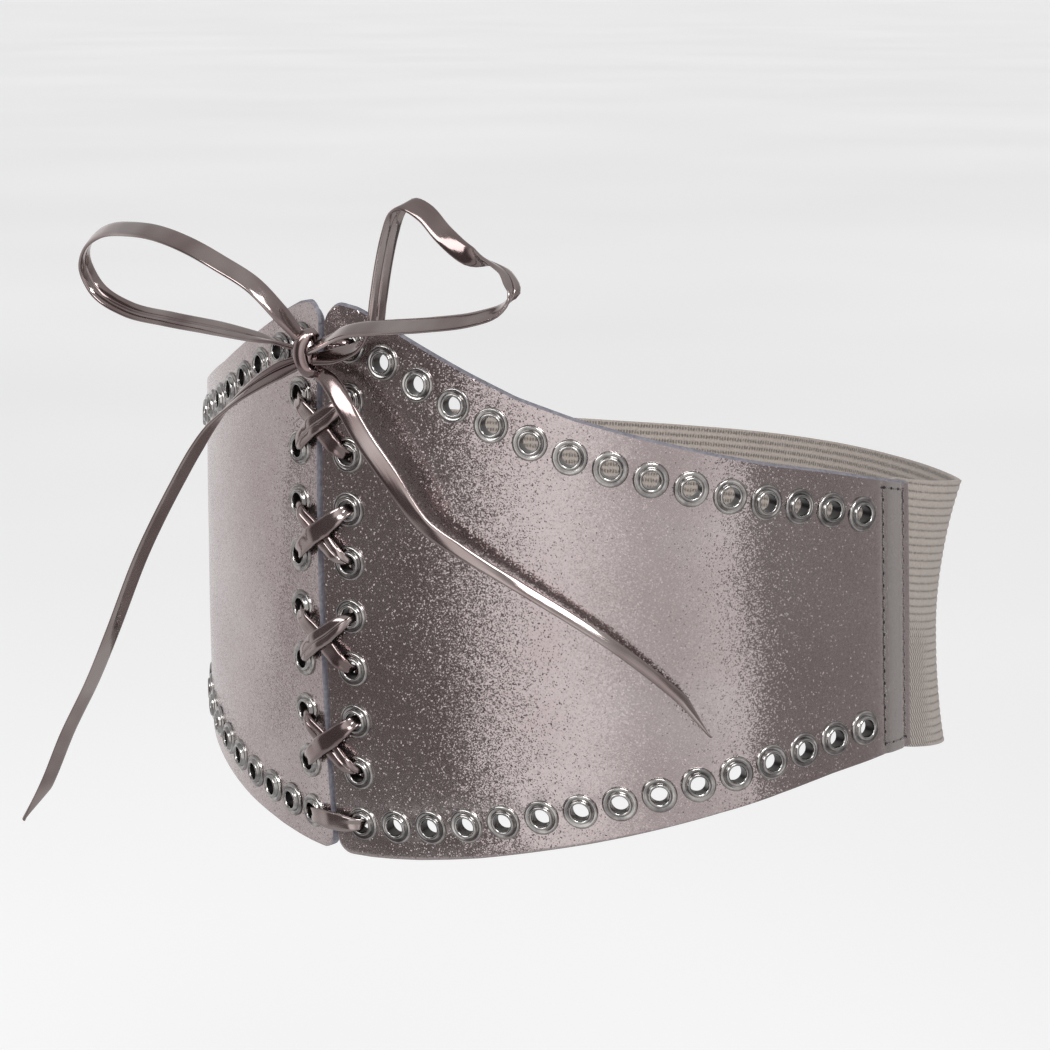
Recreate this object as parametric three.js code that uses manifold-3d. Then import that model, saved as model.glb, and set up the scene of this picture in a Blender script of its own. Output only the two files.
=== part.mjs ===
// Lace-up corset belt, as it is worn round a waist.
// Two curved faux-leather panels meet at the centre front, each edged with metal eyelets.
// One flat lace crosses between the two front columns of eyelets and is tied in a bow.
// A wide elastic band is sewn behind the panels' ends and closes the belt round the back.
//
// Millimetres. +Z is up, -Y is the front, and the origin is on the waist's upright axis.
// "Along" is measured round the belt from the centre front, "out" is measured off its outer skin.

import * as THREE from "three";
import { mergeVertices } from "three/addons/utils/BufferGeometryUtils.js";
import Module from "manifold-3d";

const wasm = await Module();
wasm.setup();

// The waist that the belt follows.
const GIRTH = 690; // round the belt's outer skin at the origin's height
const FRONT_DEPTH = 91.9; // from the waist's axis to the centre front
const FORM_HEIGHT = 100; // the height over which the leans and bows below are counted
const WIDTH_LEAN = -0.029; // the sides draw in above the waist
const WIDTH_BOW = 0.014;
const DEPTH_LEAN = 0.011;
const DEPTH_BOW = -0.056; // the front and back round over at the top and bottom
const FRONT_LEAN = -0.0064; // the whole form tips forward, per millimetre of height

// The two panels.
const PANEL_LENGTH = 182; // from the centre front to the panel's sewn end
const PANEL_RISE = 76; // the top corner at the centre front, above the origin
const PANEL_DROP = 80.2; // the bottom corner, below it
const PANEL_WALL = 2.4; // faux leather on its backing
const CENTRE_GAP = 1.0; // between the two panels at the centre front
const TOP_CORNER = 6; // radius of the rounded top corners
const BOTTOM_CORNER = 4.5;
const PANEL_STEP = 10; // facet length round the waist
const PANEL_LEVELS = 4; // facets from bottom to top

// Eyelets.
const EYELET_WIDTH = 9.8; // across the flange
const EYELET_BORE = 5.6;
const EYELET_RIM = 1.3; // how far the rolled rim stands off the leather
const BARREL_WALL = 0.35;
const BARREL_ROOM = 0.25; // between a barrel and its hole in the leather
const WASHER_WIDTH = 8.6; // at the back of the leather
const METAL = 0.5; // thickness of flange and washer
const SEAT = 0.3; // gap between touching pieces
const ROW_SIDES = 6; // facets round an eyelet of the top and bottom rows
const LACING_SIDES = 7; // and round one of the front columns
const FRONT_INSET = 9.65; // a column's centres from the centre front
const TOP_INSET = 10.8; // a row's centres below the panel's top edge
const BOTTOM_INSET = 9.6; // and above its bottom edge
const END_INSET = 20.5; // a row's last centre before the panel's end
const COLUMN_COUNT = 10; // holes in each front column, its two ends included
const ROW_COUNT = 15; // holes in each top and bottom row, the column's included

// Elastic.
const ELASTIC_HEIGHT = 77;
const ELASTIC_WALL = 1.6;
const ELASTIC_OVERLAP = 11.5; // sewn behind each panel's end
const ELASTIC_LEVEL = -13.2; // middle of the band where it leaves the panels
const ELASTIC_SAG = 13; // how much lower its middle runs at the back
const ELASTIC_SETTLE = 39; // the band reaches its own shape this far past the panel
const ELASTIC_LINE = 0.75; // its narrowest line lies this far inside the form
const TOP_FLARE = 7.2; // its edges stand out from that line
const BOTTOM_FLARE = 2.6;
const NARROWEST = -0.15; // where that line is, as a share of half the height from the middle
const ELASTIC_STEPS = 26;
const ELASTIC_LEVELS = 4;

// Lace.
const LACE_WIDTH = 5.4;
const LACE_THICK = 1.2;
const LACE_SIDES = 8;
const LACE_SQUEEZE = 0.74; // its width inside an eyelet, as a share
const KNOT_SIZE = [5.2, 6.4, 11.6]; // the wrapped knot, across, deep and tall
const KNOT_ASIDE = 2.5; // its centre from the middle line, towards the right panel
const KNOT_OUT = 5.9; // and off the centre front
const KNOT_BELOW = 13.3; // and below the panels' top corners
const KNOT_SIDES = 8;
const KNOT_LACE = { // where the laced stretch meets the knot
  left: { along: -0.3, below: 12.6, out: 3.9 },
  right: { along: 5.2, below: 11.6, out: 4.3 },
};

// The waist's outline at the origin's height: share of half the girth from the centre front,
// and the outline's heading there in degrees, 0 where it runs straight across the front.
const OUTLINE = [
  { along: 0.0, heading: 8.6 },
  { along: 0.043, heading: 11.9 },
  { along: 0.101, heading: 17.4 },
  { along: 0.174, heading: 26.5 },
  { along: 0.246, heading: 36.9 },
  { along: 0.319, heading: 53.6 },
  { along: 0.391, heading: 72.0 },
  { along: 0.464, heading: 75.5 },
  { along: 0.551, heading: 103.7 },
  { along: 0.652, heading: 126.3 },
  { along: 0.768, heading: 141.2 },
  { along: 0.884, heading: 158.5 },
  { along: 1.0, heading: 180.0 },
];

// A panel's edges: share of its length, share of PANEL_RISE above and of PANEL_DROP below.
const PANEL_EDGES = [
  { along: 0.0, top: 1.0, bottom: 1.0 },
  { along: 0.03, top: 1.0, bottom: 1.0 },
  { along: 0.065, top: 0.985, bottom: 0.998 },
  { along: 0.1, top: 0.952, bottom: 0.992 },
  { along: 0.15, top: 0.893, bottom: 0.98 },
  { along: 0.2, top: 0.838, bottom: 0.962 },
  { along: 0.25, top: 0.783, bottom: 0.942 },
  { along: 0.33, top: 0.7, bottom: 0.903 },
  { along: 0.42, top: 0.63, bottom: 0.858 },
  { along: 0.52, top: 0.566, bottom: 0.804 },
  { along: 0.62, top: 0.508, bottom: 0.75 },
  { along: 0.72, top: 0.455, bottom: 0.704 },
  { along: 0.82, top: 0.411, bottom: 0.666 },
  { along: 0.92, top: 0.36, bottom: 0.638 },
  { along: 1.0, top: 0.322, bottom: 0.634 },
];

// Routes of the lace's free stretches, chosen point by point from the knot outwards.
// Each row is a place (x, y, z) from the knot's centre and the direction across the lace's flat there.
const CORDS = {
  bow_loop_left: [
    [-1.7, -1.5, 4.4, 0, 0.74, 0.67],
    [-5.1, -5.8, 11.1, 0, 0.74, 0.67],
    [-11.1, -9.4, 18.2, 0, 0.74, 0.67],
    [-21.4, -12.2, 23.7, 0, 0.74, 0.67],
    [-33, -13.2, 27.9, 0, 0.74, 0.67],
    [-45.5, -13.2, 30.4, 0, 0.74, 0.67],
    [-57.5, -12.2, 30.7, 0, 0.74, 0.67],
    [-71.7, -9.2, 29.1, 0, 0.74, 0.67],
    [-82.9, -6.2, 24.3, 0, 0.74, 0.67],
    [-88.6, -2.7, 17.8, 0, 0.74, 0.67],
    [-86.1, -0.2, 10.6, 0, 0.74, 0.67],
    [-74.8, 1, 5.9, 0, 0.74, 0.67],
    [-56.8, 1, 4.4, 0, 0.74, 0.67],
    [-36.8, 0.6, 3.5, 0, 0.8, 0.6],
    [-20.5, -0.2, 2.5, 0, 0.9, 0.3],
    [-10.5, -0.8, 1.7, 0, 0.97, -0.2],
    [-3, -0.7, 0.8, 0, 0.97, -0.25],
  ],
  bow_loop_right: [
    [2.7, -1.7, 1.1, 0, 0.75, 0.66],
    [10, -4.2, 3.9, 0, 0.75, 0.66],
    [20.5, -6.6, 7.9, 0, 0.75, 0.66],
    [34.8, -8.2, 10.3, 0, 0.75, 0.66],
    [52.2, -8.2, 12.5, 0, 0.75, 0.66],
    [67.2, -7.2, 15.1, 0, 0.75, 0.66],
    [74.6, -5.2, 18, 0, 0.78, 0.62],
    [76.5, -3.2, 21.8, -0.2, 0.8, 0.55],
    [72.5, -0.7, 26.2, -0.5, 0.8, 0.2],
    [64.4, 0.8, 28.9, -0.65, 0.74, -0.19],
    [57.2, 0.8, 30.2, -0.4, -0.2, -0.8],
    [50.2, -0.2, 35, -0.3, -0.6, -0.74],
    [43.9, -0.2, 40, -0.3, -0.6, -0.74],
    [37.9, -0.2, 41.9, -0.3, -0.8, -0.5],
    [32.9, 0.8, 39.3, -0.3, -0.95, -0.1],
    [29.1, 1.8, 33.1, -0.3, -0.95, 0],
    [26.2, 2.3, 24.7, -0.3, -0.95, 0],
    [23.9, 2.6, 15.3, -0.3, -0.95, 0],
    [22.6, 2.2, 7.7, -0.2, -0.9, -0.3],
    [18.1, 1.2, 3.1, 0, -0.75, -0.65],
    [10.9, 0.2, 0.3, 0, -0.6, -0.8],
    [3.2, -0.6, -1.5, 0, -0.6, -0.8],
  ],
  lace_tail_left: [
    [-2.7, 0, -2.7, -0.5, 0.3, 0.8],
    [-9.9, -1.6, -5.7, -0.5, 0.3, 0.8],
    [-16.9, -3.2, -9.6, -0.4, 0.5, 0.7],
    [-24.3, -4.2, -14.6, -0.2, 0.75, 0.55],
    [-32.8, -5.2, -22.1, 0.1, 0.9, 0.3],
    [-39.4, -6.2, -30.3, 0.3, 0.95, 0],
    [-46.1, -7.2, -40.1, 0.3, 0.95, 0],
    [-53.9, -8.2, -52.1, 0.3, 0.95, 0],
    [-60.9, -9.2, -64.2, 0.3, 0.95, 0],
    [-72, -10.2, -85.9, 0.3, 0.95, 0],
    [-81.9, -10.2, -102.7, 0.3, 0.95, 0],
    [-94, -10.2, -120.4, 0.3, 0.95, 0],
    [-103.6, -10.2, -136.7, 0.3, 0.95, 0],
    [-113.2, -10.2, -150.8, 0.3, 0.95, 0],
  ],
  lace_tail_right: [
    [1.5, 1.4, -4.8, 0.98, 0.1, 0.2],
    [7.3, 0.6, -7.1, 0.98, 0.1, 0.2],
    [14, -0.2, -13.5, 0.9, 0.2, 0.4],
    [19.6, 0.8, -21.5, 0.9, 0.2, 0.4],
    [26.2, 3.2, -30.7, 0.85, 0.2, 0.5],
    [35.3, 7, -43.7, 0.7, 0.2, 0.65],
    [44.4, 11, -50.1, 0.5, 0, 0.8],
    [61.6, 19.8, -60.6, 0.4, -0.1, 0.9],
    [78.8, 31.3, -73.1, 0.4, -0.1, 0.9],
    [87.9, 40.2, -82.8, 0.4, -0.1, 0.9],
    [93.4, 46.8, -90.3, 0.4, -0.1, 0.9],
    [98.5, 54, -98.8, 0.4, -0.1, 0.9],
  ],
};
const CORD_STEP = 11; // length of one facet along a free stretch of lace
const KNOT_CENTRE = new THREE.Vector3(KNOT_ASIDE, -FRONT_DEPTH - KNOT_OUT, PANEL_RISE - KNOT_BELOW);

// Materials.
const pewterLeather = new THREE.MeshStandardMaterial({ color: 0x6f6262, roughness: 0.36, metalness: 0.7 });
const laceLeather = new THREE.MeshStandardMaterial({ color: 0x7d7272, roughness: 0.25, metalness: 0.75 });
const nickel = new THREE.MeshStandardMaterial({ color: 0x8b8a83, roughness: 0.3, metalness: 1.0 });
const taupeElastic = new THREE.MeshStandardMaterial({ color: 0x8f857c, roughness: 0.9, metalness: 0.0 });

// A table's column at a share between its rows.
function column(table, key, along) {
  const next = table.findIndex((row) => row.along >= along);
  if (next === 0) return table[0][key];
  if (next < 0) return table[table.length - 1][key];
  const before = table[next - 1];
  const share = (along - before.along) / (table[next].along - before.along);
  return THREE.MathUtils.lerp(before[key], table[next][key], share);
}

// The waist's outline as a chain of short steps, each turned by the table's heading.
const HALF_GIRTH = GIRTH / 2;
const OUTLINE_STEPS = 345;
const outline = [new THREE.Vector2(0, -FRONT_DEPTH)];
for (let i = 0; i < OUTLINE_STEPS; i += 1) {
  const heading = THREE.MathUtils.degToRad(column(OUTLINE, "heading", (i + 0.5) / OUTLINE_STEPS));
  const step = new THREE.Vector2(Math.cos(heading), Math.sin(heading));
  outline.push(outline[i].clone().addScaledVector(step, HALF_GIRTH / OUTLINE_STEPS));
}

// The last of the chain is eased over, so that it ends on the belt's middle line at the back.
const miss = outline[OUTLINE_STEPS].x;
outline.forEach((point, i) => {
  point.x -= miss * (i / OUTLINE_STEPS) ** 8;
});

// A point of the form's skin, by its way round from the centre front and its height.
function skin(along, height) {
  const way = THREE.MathUtils.euclideanModulo(along + HALF_GIRTH, GIRTH) - HALF_GIRTH;
  const place = (Math.abs(way) / HALF_GIRTH) * OUTLINE_STEPS;
  const i = Math.min(Math.floor(place), OUTLINE_STEPS - 1);
  const flat = outline[i].clone().lerp(outline[i + 1], place - i);
  const up = height / FORM_HEIGHT;
  const wide = 1 + WIDTH_LEAN * up + WIDTH_BOW * up * up;
  const deep = 1 + DEPTH_LEAN * up + DEPTH_BOW * up * up;
  return new THREE.Vector3(Math.sign(way) * flat.x * wide, flat.y * deep + FRONT_LEAN * height, height);
}

// The directions round the belt, up it and straight out of it at a point of the skin.
function directions(along, height) {
  const small = 1;
  const round = skin(along + small, height).sub(skin(along - small, height)).normalize();
  const rise = skin(along, height + small).sub(skin(along, height - small)).normalize();
  const out = round.clone().cross(rise).normalize();
  return { round, rise, out };
}

// A point that stands off the skin.
function place(along, height, out) {
  return skin(along, height).addScaledVector(directions(along, height).out, out);
}

// Drops all but the positions and joins shared corners, so that the mesh is one closed body.
function closed(geometry) {
  const bare = geometry.index ? geometry.clone() : geometry;
  for (const name of Object.keys(bare.attributes)) {
    if (name !== "position") bare.deleteAttribute(name);
  }
  return mergeVertices(bare, 1e-4);
}

function toSolid(geometry) {
  const merged = closed(geometry);
  return new wasm.Manifold(
    new wasm.Mesh({
      numProp: 3,
      vertProperties: new Float32Array(merged.attributes.position.array),
      triVerts: new Uint32Array(merged.index.array),
    }),
  );
}

function toGeometry(solid) {
  const mesh = solid.getMesh();
  const geometry = new THREE.BufferGeometry();
  geometry.setAttribute("position", new THREE.BufferAttribute(new Float32Array(mesh.vertProperties), 3));
  geometry.setIndex(new THREE.BufferAttribute(new Uint32Array(mesh.triVerts), 1));
  return geometry;
}

// A box of facets whose every corner is moved: bend(u, v, w) takes shares of its three sides.
function bentWall(lengthSteps, heightSteps, bend) {
  const wall = new THREE.BoxGeometry(1, 1, 1, lengthSteps, heightSteps, 1);
  const corner = new THREE.Vector3();
  const positions = wall.attributes.position;
  for (let i = 0; i < positions.count; i += 1) {
    corner.fromBufferAttribute(positions, i).addScalar(0.5);
    const moved = bend(corner.x, corner.y, corner.z);
    positions.setXYZ(i, moved.x, moved.y, moved.z);
  }
  return closed(wall);
}

// A ring or disc turned about its own axis, then stood on the skin with that axis pointing out.
function standOnSkin(profile, sides, along, height) {
  const turned = new THREE.LatheGeometry(profile, sides);
  const { round, rise, out } = directions(along, height);
  const frame = new THREE.Matrix4().makeBasis(rise, out, round).setPosition(skin(along, height));
  return turned.applyMatrix4(frame);
}

const COLUMN_TOP = PANEL_RISE * column(PANEL_EDGES, "top", FRONT_INSET / PANEL_LENGTH) - TOP_INSET;
const COLUMN_BOTTOM = -PANEL_DROP * column(PANEL_EDGES, "bottom", FRONT_INSET / PANEL_LENGTH) + BOTTOM_INSET;

// How much a rounded corner takes off an edge, this far in from the panel's front.
function cornerCut(radius, inward) {
  if (inward >= radius) return 0;
  return radius - Math.sqrt(radius * radius - (radius - inward) * (radius - inward));
}

function panelTop(along) {
  const edge = PANEL_RISE * column(PANEL_EDGES, "top", along / PANEL_LENGTH);
  return edge - cornerCut(TOP_CORNER, along - CENTRE_GAP / 2);
}

function panelBottom(along) {
  const edge = -PANEL_DROP * column(PANEL_EDGES, "bottom", along / PANEL_LENGTH);
  return edge + cornerCut(BOTTOM_CORNER, along - CENTRE_GAP / 2);
}

// Ways round at which a panel's facets meet: close together at its rounded corners.
function panelStations() {
  const front = CENTRE_GAP / 2;
  const corner = [0, 0.15, 0.5, 1].map((share) => front + share * TOP_CORNER);
  const rest = PANEL_LENGTH - corner[3];
  const count = Math.round(rest / PANEL_STEP);
  for (let i = 1; i <= count; i += 1) corner.push(front + TOP_CORNER + (rest * i) / count);
  return corner;
}

// Centres of one panel's eyelets, as ways round and heights.
function columnEyelets() {
  return Array.from({ length: COLUMN_COUNT }, (_, i) => ({
    along: FRONT_INSET,
    height: THREE.MathUtils.lerp(COLUMN_TOP, COLUMN_BOTTOM, i / (COLUMN_COUNT - 1)),
  }));
}

function rowEyelets() {
  const eyelets = [];
  for (let i = 1; i < ROW_COUNT; i += 1) {
    const along = THREE.MathUtils.lerp(FRONT_INSET, PANEL_LENGTH - END_INSET, i / (ROW_COUNT - 1));
    eyelets.push({ along, height: panelTop(along) - TOP_INSET });
    eyelets.push({ along, height: panelBottom(along) + BOTTOM_INSET });
  }
  return eyelets;
}

// A plain round bar through the leather, to cut a hole with.
function bore(radius, sides, side, eyelet) {
  const past = PANEL_WALL + EYELET_RIM;
  const profile = [
    new THREE.Vector2(0, -past),
    new THREE.Vector2(radius, -past),
    new THREE.Vector2(radius, past),
    new THREE.Vector2(0, past),
  ];
  return toSolid(standOnSkin(profile, sides, side * eyelet.along, eyelet.height));
}

// The flange and rim of an eyelet that is one with the leather: a low cone, its foot sunk a little.
function setEyelet(side, eyelet) {
  const rim = EYELET_BORE / 2 + METAL;
  const foot = EYELET_WIDTH / 2 + ((EYELET_WIDTH / 2 - rim) * SEAT) / EYELET_RIM;
  const profile = [
    new THREE.Vector2(0, -SEAT),
    new THREE.Vector2(foot, -SEAT),
    new THREE.Vector2(rim, EYELET_RIM),
    new THREE.Vector2(0, EYELET_RIM),
  ];
  return toSolid(standOnSkin(profile, ROW_SIDES, side * eyelet.along, eyelet.height));
}

// One panel: a bent sheet of leather with its rows of eyelets and the column's bare holes.
function panel(side) {
  const stations = panelStations();
  const steps = stations.length - 1;
  const sheet = bentWall(steps, PANEL_LEVELS, (u, v, w) => {
    const station = stations[Math.round((side > 0 ? u : 1 - u) * steps)];
    const height = THREE.MathUtils.lerp(panelBottom(station), panelTop(station), v);
    return place(side * station, height, (w - 1) * PANEL_WALL);
  });
  const rings = rowEyelets().map((eyelet) => setEyelet(side, eyelet));
  const holes = rowEyelets().map((eyelet) => bore(EYELET_BORE / 2, ROW_SIDES, side, eyelet));
  const barrelHole = EYELET_BORE / 2 + BARREL_WALL + BARREL_ROOM;
  holes.push(...columnEyelets().map((eyelet) => bore(barrelHole, LACING_SIDES, side, eyelet)));
  const solid = wasm.Manifold.union([toSolid(sheet), ...rings]).subtract(wasm.Manifold.union(holes));
  return toGeometry(solid);
}

// An eyelet of the front columns: flange, rolled rim, barrel and back washer.
function lacingEyelet(side, eyelet) {
  const inner = EYELET_BORE / 2;
  const barrel = inner + BARREL_WALL;
  const back = -PANEL_WALL - SEAT;
  const profile = [
    new THREE.Vector2(inner, back - METAL),
    new THREE.Vector2(WASHER_WIDTH / 2, back - METAL),
    new THREE.Vector2(WASHER_WIDTH / 2, back),
    new THREE.Vector2(barrel, back),
    new THREE.Vector2(barrel, SEAT),
    new THREE.Vector2(EYELET_WIDTH / 2, SEAT),
    new THREE.Vector2(inner + METAL, EYELET_RIM),
    new THREE.Vector2(inner, EYELET_RIM),
    new THREE.Vector2(inner, back - METAL),
  ];
  return closed(standOnSkin(profile, LACING_SIDES, side * eyelet.along, eyelet.height));
}

// How far the band stands off the form, at a share of half its height from its middle.
function elasticFlare(share) {
  const above = share > NARROWEST;
  const reach = above ? 1 - NARROWEST : 1 + NARROWEST;
  const flare = above ? TOP_FLARE : BOTTOM_FLARE;
  return -ELASTIC_LINE + flare * ((share - NARROWEST) / reach) ** 2;
}

// The band, from behind one panel's end, round the back, to behind the other's.
function elastic() {
  const start = PANEL_LENGTH - ELASTIC_OVERLAP;
  const behind = -PANEL_WALL - SEAT;
  return bentWall(ELASTIC_STEPS, ELASTIC_LEVELS, (u, v, w) => {
    const way = THREE.MathUtils.lerp(start, GIRTH - start, u);
    const past = Math.max(Math.min(way, GIRTH - way) - PANEL_LENGTH, 0);
    const free = THREE.MathUtils.smoothstep(past, 0, ELASTIC_SETTLE);
    const toBack = 1 - past / (HALF_GIRTH - PANEL_LENGTH);
    const middle = ELASTIC_LEVEL - ELASTIC_SAG * (1 - toBack ** 3);
    const share = 2 * v - 1;
    const outer = THREE.MathUtils.lerp(behind, elasticFlare(share), free);
    return place(way, middle + (share * ELASTIC_HEIGHT) / 2, outer + (w - 1) * ELASTIC_WALL);
  });
}

// A flat lace's route: a curve through the points, and the direction across its flat.
class LaceRoute extends THREE.CatmullRomCurve3 {
  constructor(points, across) {
    super(points, false, "centripetal");
    this.across = across;
  }

  // Frames that keep the flat of the lace turned as its points say.
  computeFrenetFrames(steps) {
    const frames = { tangents: [], normals: [], binormals: [] };
    for (let i = 0; i <= steps; i += 1) {
      const reach = this.getUtoTmapping(i / steps) * (this.points.length - 1);
      const j = Math.min(Math.floor(reach), this.points.length - 2);
      const tangent = this.getTangentAt(i / steps);
      const across = this.across[j].clone().lerp(this.across[j + 1], reach - j);
      across.addScaledVector(tangent, -across.dot(tangent)).normalize();
      frames.tangents.push(tangent);
      frames.normals.push(across);
      frames.binormals.push(tangent.clone().cross(across));
    }
    return frames;
  }
}

// The lace's section: a flat oval.
function laceSection() {
  const shape = new THREE.Shape();
  const flat = 1 / Math.cos(Math.PI / LACE_SIDES);
  for (let i = 0; i < LACE_SIDES; i += 1) {
    const angle = ((i + 0.5) / LACE_SIDES) * 2 * Math.PI;
    const x = (Math.cos(angle) * flat * LACE_WIDTH) / 2;
    const y = (Math.sin(angle) * flat * LACE_THICK) / 2;
    if (i === 0) shape.moveTo(x, y);
    else shape.lineTo(x, y);
  }
  shape.closePath();
  return shape;
}

// A free stretch of lace, a loop of the bow or a tail.
function freeLace(rows) {
  const points = rows.map((row) => new THREE.Vector3(row[0], row[1], row[2]).add(KNOT_CENTRE));
  const across = rows.map((row) => new THREE.Vector3(row[3], row[4], row[5]).normalize());
  const route = new LaceRoute(points, across);
  const steps = Math.round(route.getLength() / CORD_STEP);
  return closed(new THREE.ExtrudeGeometry(laceSection(), { steps, extrudePath: route, curveSegments: 1 }));
}

// Places on the laced stretch, from the knot's left side down to the bottom bar and up again.
// The lace runs behind the leather between the holes of a pair, 1 to 2, 3 to 4 and so on,
// and crosses the front gap from each pair to the next one of the other column.
function lacingStops() {
  const holes = columnEyelets();
  const behind = -(PANEL_WALL + SEAT + METAL + SEAT + LACE_THICK / 2);
  const overRim = EYELET_RIM + SEAT + LACE_THICK / 2;
  const under = SEAT + LACE_THICK / 2;
  const over = under + 2 * LACE_THICK;
  const level = { round: 1, rise: 0 };
  const upright = { round: 0, rise: 1 };
  const stops = [];
  const add = (along, height, out, across, width = 1) => stops.push({ along, height, out, across, width });

  // Through a hole, gathered to fit its bore and turned from the way in front to level behind.
  const through = (side, k, front, inward) => {
    const outs = [EYELET_RIM + LACE_THICK, -PANEL_WALL / 2, behind - SEAT];
    const ways = [front, { round: (front.round + 1) / 2, rise: front.rise / 2 }, level];
    for (const i of inward ? [0, 1, 2] : [2, 1, 0]) {
      add(side * holes[k].along, holes[k].height, outs[i], ways[i], LACE_SQUEEZE);
    }
  };

  const hidden = (side, from, to) => {
    for (const share of [0.25, 0.75]) {
      const height = THREE.MathUtils.lerp(holes[from].height, holes[to].height, share);
      add(side * holes[from].along, height, behind, level);
    }
  };

  // The direction across the lace where it crosses the gap, square to its way.
  const crossing = (side, from, to) => {
    const drop = holes[to].height - holes[from].height;
    if (drop === 0) return upright;
    const wide = 2 * side * holes[from].along * Math.sign(drop);
    const length = Math.hypot(drop, wide);
    return { round: Math.abs(drop) / length, rise: wide / length };
  };

  const cross = (side, from, to) => {
    const drop = holes[to].height - holes[from].height;
    const top = drop * side < 0 ? over : under; // from lower left to upper right lies on top
    const outs = { 0.2: overRim, 0.5: drop === 0 ? overRim : top, 0.8: overRim };
    for (const [share, out] of Object.entries(outs)) {
      const along = side * holes[from].along * (1 - 2 * share);
      const height = holes[from].height + drop * share;
      add(along, height, out, crossing(side, from, to));
    }
  };

  // One hole after another: down from the left, over the bottom bar, then up to the right.
  const down = Array.from({ length: COLUMN_COUNT }, (_, k) => k);
  const order = [...down, ...down.slice().reverse()];
  let side = -1;
  const { left, right } = KNOT_LACE;
  add(-left.along, PANEL_RISE - left.below, left.out, upright);
  add((side * FRONT_INSET) / 2, COLUMN_TOP, overRim + METAL, upright);
  let front = upright;
  order.forEach((k, i) => {
    const inward = i % 2 === 0;
    const next = order[i + 1];
    if (!inward && next !== undefined) front = crossing(side, k, next);
    if (next === undefined) front = upright;
    through(side, k, front, inward);
    if (next === undefined) return;
    if (inward) {
      hidden(side, k, next);
    } else {
      cross(side, k, next);
      side = -side;
    }
  });
  add(right.along, PANEL_RISE - right.below, right.out, upright);
  return stops;
}

// The laced stretch as a flat bar of facets, bent at each of its places.
function lacing() {
  const stops = lacingStops().map((stop) => {
    const { round, rise } = directions(stop.along, stop.height);
    const across = round.multiplyScalar(stop.across.round).addScaledVector(rise, stop.across.rise);
    return { at: place(stop.along, stop.height, stop.out), across, width: stop.width };
  });
  const last = stops.length - 1;
  return bentWall(last, 1, (u, v, w) => {
    const i = Math.round(u * last);
    const { at, across, width } = stops[i];
    const tangent = stops[Math.min(i + 1, last)].at.clone().sub(stops[Math.max(i - 1, 0)].at).normalize();
    const flat = across.clone().addScaledVector(tangent, -across.dot(tangent)).normalize();
    const thick = tangent.cross(flat);
    return at
      .clone()
      .addScaledVector(flat, (v - 0.5) * LACE_WIDTH * width)
      .addScaledVector(thick, (w - 0.5) * LACE_THICK);
  });
}

// The knot that gathers the lace's ends, the bow's loops and the tails.
function knot() {
  const ball = new THREE.SphereGeometry(0.5, KNOT_SIDES, KNOT_SIDES);
  ball.rotateX(Math.PI / 2).scale(...KNOT_SIZE).translate(...KNOT_CENTRE);
  return closed(ball);
}

const belt = new THREE.Group();

function addPiece(name, geometry, material) {
  const mesh = new THREE.Mesh(geometry, material);
  mesh.name = name;
  belt.add(mesh);
}

addPiece("panel_right", panel(1), pewterLeather);
addPiece("panel_left", panel(-1), pewterLeather);
addPiece("elastic_back", elastic(), taupeElastic);
for (const [name, side] of [["right", 1], ["left", -1]]) {
  columnEyelets().forEach((eyelet, i) => {
    addPiece(`eyelet_${name}_${i + 1}`, lacingEyelet(side, eyelet), nickel);
  });
}
addPiece("lacing", lacing(), laceLeather);
addPiece("bow_knot", knot(), laceLeather);
for (const [name, rows] of Object.entries(CORDS)) addPiece(name, freeLace(rows), laceLeather);

export default belt;
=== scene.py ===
import math

import bmesh
import bpy
from mathutils import Matrix, Vector, noise


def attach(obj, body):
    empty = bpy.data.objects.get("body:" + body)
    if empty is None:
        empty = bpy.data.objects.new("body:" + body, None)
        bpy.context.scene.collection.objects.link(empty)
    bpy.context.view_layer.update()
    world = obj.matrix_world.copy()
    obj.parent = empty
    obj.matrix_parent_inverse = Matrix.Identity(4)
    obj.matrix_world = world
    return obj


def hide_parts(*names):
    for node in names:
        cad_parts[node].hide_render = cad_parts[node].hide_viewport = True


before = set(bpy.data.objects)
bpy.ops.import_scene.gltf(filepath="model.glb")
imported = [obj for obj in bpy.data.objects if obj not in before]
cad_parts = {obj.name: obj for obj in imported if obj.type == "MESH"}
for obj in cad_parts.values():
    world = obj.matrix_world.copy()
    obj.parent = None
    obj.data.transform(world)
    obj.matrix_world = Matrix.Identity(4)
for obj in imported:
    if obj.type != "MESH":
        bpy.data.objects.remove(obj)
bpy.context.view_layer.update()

# The camera stands in front and to the right of the belt, a little above it, with a long lens.
# It was solved together with the belt's form, from the places of the eyelets that show.
CAMERA_BACK = Vector((0.6462, -0.7386, 0.1920))
CAMERA_RIGHT = Vector((0.7526, 0.6584, 0.0))
CAMERA_UP = Vector((-0.1264, 0.1445, 0.9814))
CAMERA_DISTANCE = 0.8584
camera_data = bpy.data.cameras.new("camera")
camera_data.sensor_width = 36
camera_data.lens = 98.2
camera_data.shift_x = -0.0145
camera_data.shift_y = 0.0021
camera_data.clip_start = 0.05
camera_data.clip_end = 100
camera = bpy.data.objects.new("camera", camera_data)
turn = Matrix((CAMERA_RIGHT, CAMERA_UP, CAMERA_BACK)).transposed()
camera.matrix_world = Matrix.Translation(CAMERA_BACK * CAMERA_DISTANCE) @ turn.to_4x4()
bpy.context.scene.collection.objects.link(camera)
bpy.context.scene.camera = camera


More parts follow.
